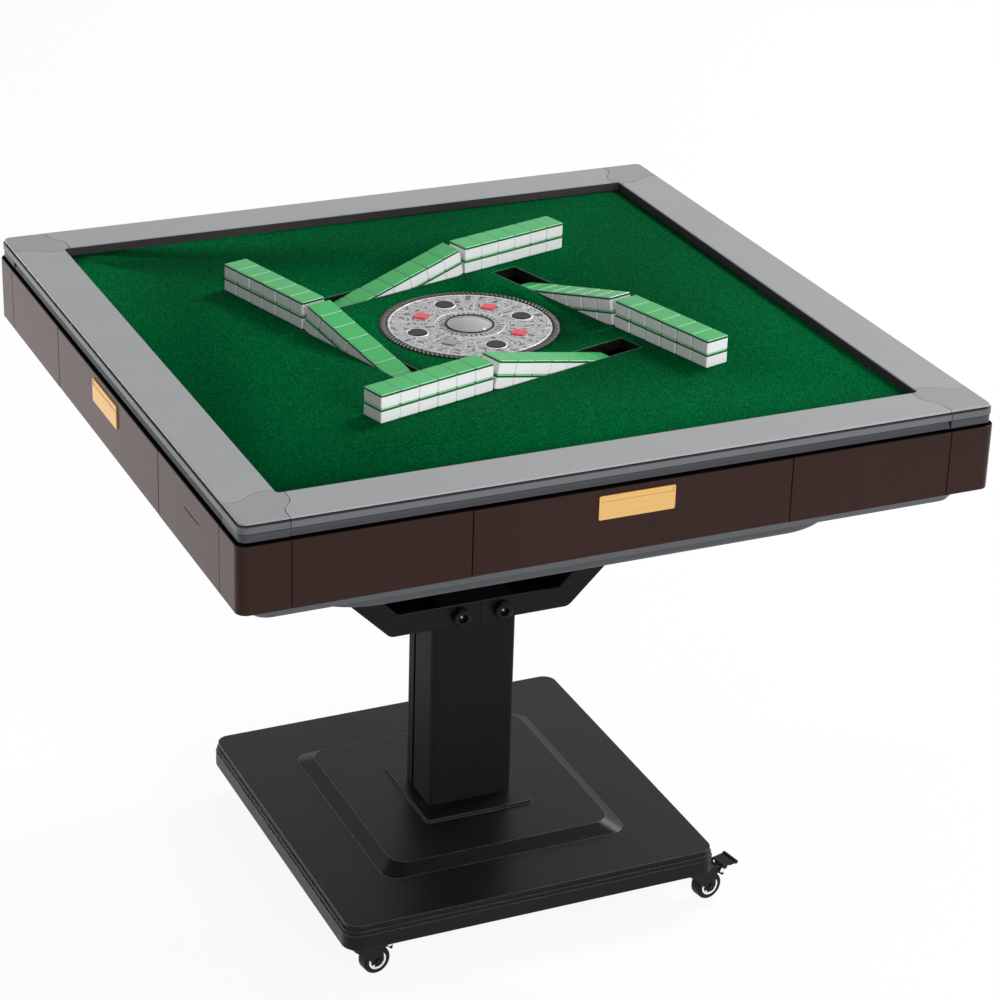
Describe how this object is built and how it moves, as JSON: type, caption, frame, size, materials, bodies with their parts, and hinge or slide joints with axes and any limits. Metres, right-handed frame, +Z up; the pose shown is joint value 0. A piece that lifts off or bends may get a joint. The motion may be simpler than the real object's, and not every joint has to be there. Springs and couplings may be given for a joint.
{
  "type": "automatic mahjong table",
  "caption": "Square automatic mahjong table on a column and caster base, with a drawer in each side, a lifting centre console, tile ramps and a mixing turntable.",
  "frame": {"origin": "on the floor below the centre of the table", "axes": "+X to the right along the front side, +Y to the back, +Z up"},
  "size_m": [0.964, 0.964, 0.8091],
  "materials": {
    "frame_grey": "satin",
    "body_brown": "satin",
    "steel_black": "satin",
    "cover_black": "satin",
    "tray_grey": "matte",
    "pull_gold": "polished",
    "cloth_green": "woven",
    "board": "raw",
    "tile": "polished",
    "ramp_dark": "satin",
    "console_silver": "satin",
    "ring_dark": "satin",
    "dome_clear": "polished",
    "button_dark": "polished",
    "button_red": "polished",
    "button_grey": "polished",
    "steel_bright": "brushed",
    "wheel_black": "satin",
    "motor_grey": "cast",
    "turntable_green": "matte"
  },
  "bodies": {
    "table": {"base_cover": "cover_black", "base_frame": "steel_black", "column_post": "steel_black", "column_front_shell": "cover_black", "column_rear_cover": "cover_black", "bracket_arm_left": "steel_black", "bracket_arm_right": "steel_black", "bracket_bolts": "steel_black", "mixing_pan": "tray_grey", "underside_tray": "tray_grey", "chassis_frame": "steel_black", "drawer_runners": "steel_bright", "body_panels": "body_brown", "body_corners": "body_brown", "frame_rails": "frame_grey", "frame_corners": "frame_grey", "playing_board": "board", "playing_cloth": "cloth_green", "tile_walls": "tile", "console_guide": "steel_bright", "turntable_motor": "motor_grey", "power_inlet": "cover_black"},
    "drawer_front": {"drawer_front": "body_brown", "drawer_pull_front": "pull_gold"},
    "drawer_right": {"drawer_right": "body_brown", "drawer_pull_right": "pull_gold"},
    "drawer_back": {"drawer_back": "body_brown", "drawer_pull_back": "pull_gold"},
    "drawer_left": {"drawer_left": "body_brown", "drawer_pull_left": "pull_gold"},
    "console": {"console_plate": "console_silver", "console_ring": "ring_dark", "dice_dome": "dome_clear"},
    "dice_button_front": {"dice_button_front": "button_dark"},
    "lift_button_front": {"lift_button_front": "button_red"},
    "dice_button_right": {"dice_button_right": "button_dark"},
    "lift_button_right": {"lift_button_right": "button_red"},
    "dice_button_back": {"dice_button_back": "button_dark"},
    "lift_button_back": {"lift_button_back": "button_red"},
    "dice_button_left": {"dice_button_left": "button_dark"},
    "lift_button_left": {"lift_button_left": "button_grey"},
    "ramp_front": {"lift_ramp_front": "ramp_dark", "ramp_tiles_front": "tile"},
    "ramp_right": {"lift_ramp_right": "ramp_dark", "ramp_tiles_right": "tile"},
    "ramp_back": {"lift_ramp_back": "ramp_dark", "ramp_tiles_back": "tile"},
    "ramp_left": {"lift_ramp_left": "ramp_dark", "ramp_tiles_left": "tile"},
    "turntable": {"mixing_turntable": "turntable_green"},
    "fork_front_left": {"caster_fork_front_left": "steel_black"},
    "wheel_front_left": {"caster_wheel_front_left": "wheel_black"},
    "pedal_front_left": {"brake_pedal_front_left": "steel_black"},
    "fork_front_right": {"caster_fork_front_right": "steel_black"},
    "wheel_front_right": {"caster_wheel_front_right": "wheel_black"},
    "pedal_front_right": {"brake_pedal_front_right": "steel_black"},
    "fork_back_right": {"caster_fork_back_right": "steel_black"},
    "wheel_back_right": {"caster_wheel_back_right": "wheel_black"},
    "fork_back_left": {"caster_fork_back_left": "steel_black"},
    "wheel_back_left": {"caster_wheel_back_left": "wheel_black"}
  },
  "joints": [
    {"name": "drawer_front_slide", "type": "slide", "parent": "table", "child": "drawer_front", "axis": [0, -1, 0], "range_m": [0, 0.18]},
    {"name": "drawer_right_slide", "type": "slide", "parent": "table", "child": "drawer_right", "axis": [1, 0, 0], "range_m": [0, 0.18]},
    {"name": "drawer_back_slide", "type": "slide", "parent": "table", "child": "drawer_back", "axis": [0, 1, 0], "range_m": [0, 0.18]},
    {"name": "drawer_left_slide", "type": "slide", "parent": "table", "child": "drawer_left", "axis": [-1, 0, 0], "range_m": [0, 0.18]},
    {"name": "console_lift", "type": "slide", "parent": "table", "child": "console", "axis": [0, 0, 1], "range_m": [0, 0.075]},
    {"name": "dice_button_front_press", "type": "slide", "parent": "console", "child": "dice_button_front", "axis": [0, 0, -1], "range_m": [0, 0.002], "stiffness_N_per_m": 300},
    {"name": "lift_button_front_press", "type": "slide", "parent": "console", "child": "lift_button_front", "axis": [0, 0, -1], "range_m": [0, 0.002], "stiffness_N_per_m": 300},
    {"name": "dice_button_right_press", "type": "slide", "parent": "console", "child": "dice_button_right", "axis": [0, 0, -1], "range_m": [0, 0.002], "stiffness_N_per_m": 300},
    {"name": "lift_button_right_press", "type": "slide", "parent": "console", "child": "lift_button_right", "axis": [0, 0, -1], "range_m": [0, 0.002], "stiffness_N_per_m": 300},
    {"name": "dice_button_back_press", "type": "slide", "parent": "console", "child": "dice_button_back", "axis": [0, 0, -1], "range_m": [0, 0.002], "stiffness_N_per_m": 300},
    {"name": "lift_button_back_press", "type": "slide", "parent": "console", "child": "lift_button_back", "axis": [0, 0, -1], "range_m": [0, 0.002], "stiffness_N_per_m": 300},
    {"name": "dice_button_left_press", "type": "slide", "parent": "console", "child": "dice_button_left", "axis": [0, 0, -1], "range_m": [0, 0.002], "stiffness_N_per_m": 300},
    {"name": "lift_button_left_press", "type": "slide", "parent": "console", "child": "lift_button_left", "axis": [0, 0, -1], "range_m": [0, 0.002], "stiffness_N_per_m": 300},
    {"name": "ramp_front_lift", "type": "hinge", "parent": "table", "child": "ramp_front", "pos_m": [-0.05688, -0.18609, 0.7665], "axis": [0.2723, -0.9622, 0], "range_deg": [0, 13.5]},
    {"name": "ramp_right_lift", "type": "hinge", "parent": "table", "child": "ramp_right", "pos_m": [0.18609, -0.05688, 0.7665], "axis": [0.9622, 0.2723, 0], "range_deg": [0, 13.5]},
    {"name": "ramp_back_lift", "type": "hinge", "parent": "table", "child": "ramp_back", "pos_m": [0.05688, 0.18609, 0.7665], "axis": [-0.2723, 0.9622, 0], "range_deg": [0, 13.5]},
    {"name": "ramp_left_lift", "type": "hinge", "parent": "table", "child": "ramp_left", "pos_m": [-0.18609, 0.05688, 0.7665], "axis": [-0.9622, -0.2723, 0], "range_deg": [0, 13.5]},
    {"name": "turntable_spin", "type": "hinge", "parent": "table", "child": "turntable", "pos_m": [0, 0, 0.6135], "axis": [0, 0, 1], "continuous": true},
    {"name": "caster_front_left_swivel", "type": "hinge", "parent": "table", "child": "fork_front_left", "pos_m": [-0.24, -0.24, 0.0534], "axis": [0, 0, 1], "continuous": true},
    {"name": "caster_front_left_roll", "type": "hinge", "parent": "fork_front_left", "child": "wheel_front_left", "pos_m": [-0.21637, -0.23583, 0.01925], "axis": [-0.1736, 0.9848, 0], "continuous": true},
    {"name": "brake_front_left_press", "type": "hinge", "parent": "fork_front_left", "child": "pedal_front_left", "pos_m": [-0.20159, -0.23323, 0.042], "axis": [-0.1736, 0.9848, 0], "range_deg": [0, 12]},
    {"name": "caster_front_right_swivel", "type": "hinge", "parent": "table", "child": "fork_front_right", "pos_m": [0.24, -0.24, 0.0534], "axis": [0, 0, 1], "continuous": true},
    {"name": "caster_front_right_roll", "type": "hinge", "parent": "fork_front_right", "child": "wheel_front_right", "pos_m": [0.26364, -0.23583, 0.01925], "axis": [-0.1736, 0.9848, 0], "continuous": true},
    {"name": "brake_front_right_press", "type": "hinge", "parent": "fork_front_right", "child": "pedal_front_right", "pos_m": [0.27841, -0.23323, 0.042], "axis": [-0.1736, 0.9848, 0], "range_deg": [0, 12]},
    {"name": "caster_back_right_swivel", "type": "hinge", "parent": "table", "child": "fork_back_right", "pos_m": [0.24, 0.24, 0.0534], "axis": [0, 0, 1], "continuous": true},
    {"name": "caster_back_right_roll", "type": "hinge", "parent": "fork_back_right", "child": "wheel_back_right", "pos_m": [0.26364, 0.24417, 0.01925], "axis": [-0.1736, 0.9848, 0], "continuous": true},
    {"name": "caster_back_left_swivel", "type": "hinge", "parent": "table", "child": "fork_back_left", "pos_m": [-0.24, 0.24, 0.0534], "axis": [0, 0, 1], "continuous": true},
    {"name": "caster_back_left_roll", "type": "hinge", "parent": "fork_back_left", "child": "wheel_back_left", "pos_m": [-0.21637, 0.24417, 0.01925], "axis": [-0.1736, 0.9848, 0], "continuous": true}
  ],
  "couplings": [
    {"joint": "ramp_right_lift", "follows": "ramp_front_lift", "ratio": 1},
    {"joint": "ramp_back_lift", "follows": "ramp_front_lift", "ratio": 1},
    {"joint": "ramp_left_lift", "follows": "ramp_front_lift", "ratio": 1}
  ]
}
